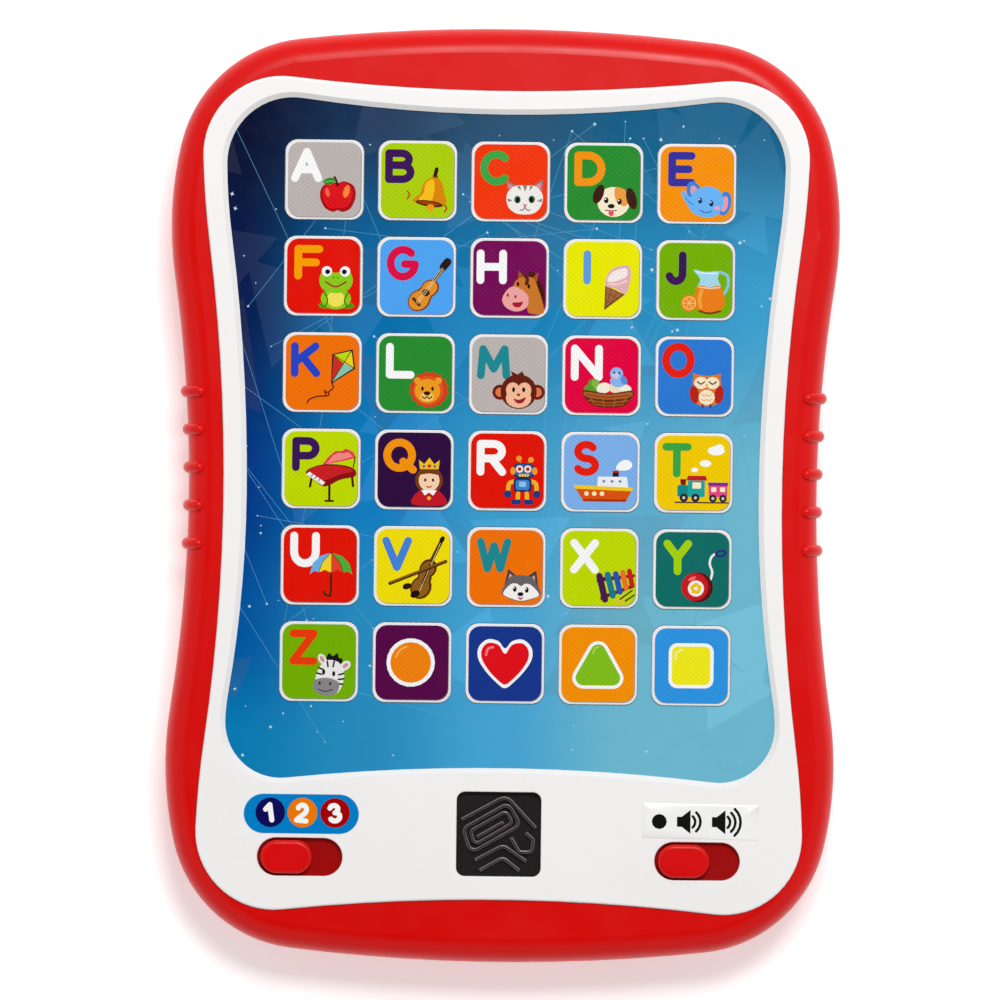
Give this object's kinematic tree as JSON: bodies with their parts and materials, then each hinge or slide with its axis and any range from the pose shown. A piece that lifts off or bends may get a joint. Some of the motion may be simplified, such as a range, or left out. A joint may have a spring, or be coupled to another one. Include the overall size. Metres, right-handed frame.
{
  "type": "kids toy tablet",
  "caption": "Waisted red learning tablet that lies flat, with a white facing, a printed screen of press keys, two sliders, a clear light window and side grips.",
  "frame": {"origin": "on the flat back, under the middle of the body's outline", "axes": "+Z out of the face, +Y towards the top of the face, +X to the right as the child sees it"},
  "size_m": [0.1728, 0.2412, 0.0243],
  "materials": {
    "red_plastic": "satin",
    "white_plastic": "satin",
    "knob_plastic": "gloss",
    "screen_film": "gloss",
    "key_print": "gloss",
    "membrane": "matte",
    "circuit_board": "satin",
    "black_resin": "matte",
    "component_metal": "satin",
    "clear_plastic": "gloss",
    "led_plastic": "gloss",
    "speaker_steel": "satin",
    "speaker_paper": "matte",
    "cell_jacket": "gloss",
    "spring_steel": "satin",
    "screw_steel": "satin",
    "lead_sleeve": "satin",
    "sticker_print": "gloss",
    "label_print": "gloss"
  },
  "bodies": {
    "root": {"rear_shell": "red_plastic", "front_shell": "red_plastic", "front_bezel": "white_plastic", "overlay_film": "screen_film", "membrane_spacer": "membrane", "membrane_circuit": "membrane", "membrane_tail": "membrane", "main_board": "circuit_board", "sound_chip": "black_resin", "board_components": "component_metal", "light_led": "led_plastic", "light_lens": "clear_plastic", "speaker": "speaker_steel", "speaker_cone": "speaker_paper", "batteries": "cell_jacket", "battery_springs": "spring_steel", "battery_contacts": "spring_steel", "case_screws": "screw_steel", "board_screws": "screw_steel", "speaker_wires": "lead_sleeve", "battery_wires": "lead_sleeve", "number_sticker": "sticker_print", "volume_sticker": "label_print"},
    "mode_slider": {"mode_slider": "knob_plastic", "mode_wiper": "spring_steel"},
    "volume_slider": {"volume_slider": "knob_plastic", "volume_wiper": "spring_steel"},
    "battery_door": {"battery_door": "red_plastic"},
    "battery_door_screw": {"battery_door_screw": "screw_steel"},
    "key_a": {"key_a": "key_print"},
    "key_b": {"key_b": "key_print"},
    "key_c": {"key_c": "key_print"},
    "key_d": {"key_d": "key_print"},
    "key_e": {"key_e": "key_print"},
    "key_f": {"key_f": "key_print"},
    "key_g": {"key_g": "key_print"},
    "key_h": {"key_h": "key_print"},
    "key_i": {"key_i": "key_print"},
    "key_j": {"key_j": "key_print"},
    "key_k": {"key_k": "key_print"},
    "key_l": {"key_l": "key_print"},
    "key_m": {"key_m": "key_print"},
    "key_n": {"key_n": "key_print"},
    "key_o": {"key_o": "key_print"},
    "key_p": {"key_p": "key_print"},
    "key_q": {"key_q": "key_print"},
    "key_r": {"key_r": "key_print"},
    "key_s": {"key_s": "key_print"},
    "key_t": {"key_t": "key_print"},
    "key_u": {"key_u": "key_print"},
    "key_v": {"key_v": "key_print"},
    "key_w": {"key_w": "key_print"},
    "key_x": {"key_x": "key_print"},
    "key_y": {"key_y": "key_print"},
    "key_z": {"key_z": "key_print"},
    "key_circle": {"key_circle": "key_print"},
    "key_heart": {"key_heart": "key_print"},
    "key_triangle": {"key_triangle": "key_print"},
    "key_square": {"key_square": "key_print"}
  },
  "joints": [
    {"name": "mode_slide", "type": "slide", "parent": "root", "child": "mode_slider", "axis": [1, 0, 0], "range_m": [0, 0.0069]},
    {"name": "volume_slide", "type": "slide", "parent": "root", "child": "volume_slider", "axis": [1, 0, 0], "range_m": [0, 0.0069]},
    {"name": "battery_door_hinge", "type": "hinge", "parent": "root", "child": "battery_door", "pos_m": [0, -0.0142, 0], "axis": [1, 0, 0], "range_deg": [0, 70]},
    {"name": "door_screw_turn", "type": "hinge", "parent": "battery_door", "child": "battery_door_screw", "pos_m": [0, -0.0548, 0], "axis": [0, 0, 1], "continuous": true},
    {"name": "key_a_press", "type": "slide", "parent": "root", "child": "key_a", "axis": [0, 0, -1], "range_m": [0, 0.0004], "stiffness_N_per_m": 1500},
    {"name": "key_b_press", "type": "slide", "parent": "root", "child": "key_b", "axis": [0, 0, -1], "range_m": [0, 0.0004], "stiffness_N_per_m": 1500},
    {"name": "key_c_press", "type": "slide", "parent": "root", "child": "key_c", "axis": [0, 0, -1], "range_m": [0, 0.0004], "stiffness_N_per_m": 1500},
    {"name": "key_d_press", "type": "slide", "parent": "root", "child": "key_d", "axis": [0, 0, -1], "range_m": [0, 0.0004], "stiffness_N_per_m": 1500},
    {"name": "key_e_press", "type": "slide", "parent": "root", "child": "key_e", "axis": [0, 0, -1], "range_m": [0, 0.0004], "stiffness_N_per_m": 1500},
    {"name": "key_f_press", "type": "slide", "parent": "root", "child": "key_f", "axis": [0, 0, -1], "range_m": [0, 0.0004], "stiffness_N_per_m": 1500},
    {"name": "key_g_press", "type": "slide", "parent": "root", "child": "key_g", "axis": [0, 0, -1], "range_m": [0, 0.0004], "stiffness_N_per_m": 1500},
    {"name": "key_h_press", "type": "slide", "parent": "root", "child": "key_h", "axis": [0, 0, -1], "range_m": [0, 0.0004], "stiffness_N_per_m": 1500},
    {"name": "key_i_press", "type": "slide", "parent": "root", "child": "key_i", "axis": [0, 0, -1], "range_m": [0, 0.0004], "stiffness_N_per_m": 1500},
    {"name": "key_j_press", "type": "slide", "parent": "root", "child": "key_j", "axis": [0, 0, -1], "range_m": [0, 0.0004], "stiffness_N_per_m": 1500},
    {"name": "key_k_press", "type": "slide", "parent": "root", "child": "key_k", "axis": [0, 0, -1], "range_m": [0, 0.0004], "stiffness_N_per_m": 1500},
    {"name": "key_l_press", "type": "slide", "parent": "root", "child": "key_l", "axis": [0, 0, -1], "range_m": [0, 0.0004], "stiffness_N_per_m": 1500},
    {"name": "key_m_press", "type": "slide", "parent": "root", "child": "key_m", "axis": [0, 0, -1], "range_m": [0, 0.0004], "stiffness_N_per_m": 1500},
    {"name": "key_n_press", "type": "slide", "parent": "root", "child": "key_n", "axis": [0, 0, -1], "range_m": [0, 0.0004], "stiffness_N_per_m": 1500},
    {"name": "key_o_press", "type": "slide", "parent": "root", "child": "key_o", "axis": [0, 0, -1], "range_m": [0, 0.0004], "stiffness_N_per_m": 1500},
    {"name": "key_p_press", "type": "slide", "parent": "root", "child": "key_p", "axis": [0, 0, -1], "range_m": [0, 0.0004], "stiffness_N_per_m": 1500},
    {"name": "key_q_press", "type": "slide", "parent": "root", "child": "key_q", "axis": [0, 0, -1], "range_m": [0, 0.0004], "stiffness_N_per_m": 1500},
    {"name": "key_r_press", "type": "slide", "parent": "root", "child": "key_r", "axis": [0, 0, -1], "range_m": [0, 0.0004], "stiffness_N_per_m": 1500},
    {"name": "key_s_press", "type": "slide", "parent": "root", "child": "key_s", "axis": [0, 0, -1], "range_m": [0, 0.0004], "stiffness_N_per_m": 1500},
    {"name": "key_t_press", "type": "slide", "parent": "root", "child": "key_t", "axis": [0, 0, -1], "range_m": [0, 0.0004], "stiffness_N_per_m": 1500},
    {"name": "key_u_press", "type": "slide", "parent": "root", "child": "key_u", "axis": [0, 0, -1], "range_m": [0, 0.0004], "stiffness_N_per_m": 1500},
    {"name": "key_v_press", "type": "slide", "parent": "root", "child": "key_v", "axis": [0, 0, -1], "range_m": [0, 0.0004], "stiffness_N_per_m": 1500},
    {"name": "key_w_press", "type": "slide", "parent": "root", "child": "key_w", "axis": [0, 0, -1], "range_m": [0, 0.0004], "stiffness_N_per_m": 1500},
    {"name": "key_x_press", "type": "slide", "parent": "root", "child": "key_x", "axis": [0, 0, -1], "range_m": [0, 0.0004], "stiffness_N_per_m": 1500},
    {"name": "key_y_press", "type": "slide", "parent": "root", "child": "key_y", "axis": [0, 0, -1], "range_m": [0, 0.0004], "stiffness_N_per_m": 1500},
    {"name": "key_z_press", "type": "slide", "parent": "root", "child": "key_z", "axis": [0, 0, -1], "range_m": [0, 0.0004], "stiffness_N_per_m": 1500},
    {"name": "key_circle_press", "type": "slide", "parent": "root", "child": "key_circle", "axis": [0, 0, -1], "range_m": [0, 0.0004], "stiffness_N_per_m": 1500},
    {"name": "key_heart_press", "type": "slide", "parent": "root", "child": "key_heart", "axis": [0, 0, -1], "range_m": [0, 0.0004], "stiffness_N_per_m": 1500},
    {"name": "key_triangle_press", "type": "slide", "parent": "root", "child": "key_triangle", "axis": [0, 0, -1], "range_m": [0, 0.0004], "stiffness_N_per_m": 1500},
    {"name": "key_square_press", "type": "slide", "parent": "root", "child": "key_square", "axis": [0, 0, -1], "range_m": [0, 0.0004], "stiffness_N_per_m": 1500}
  ]
}
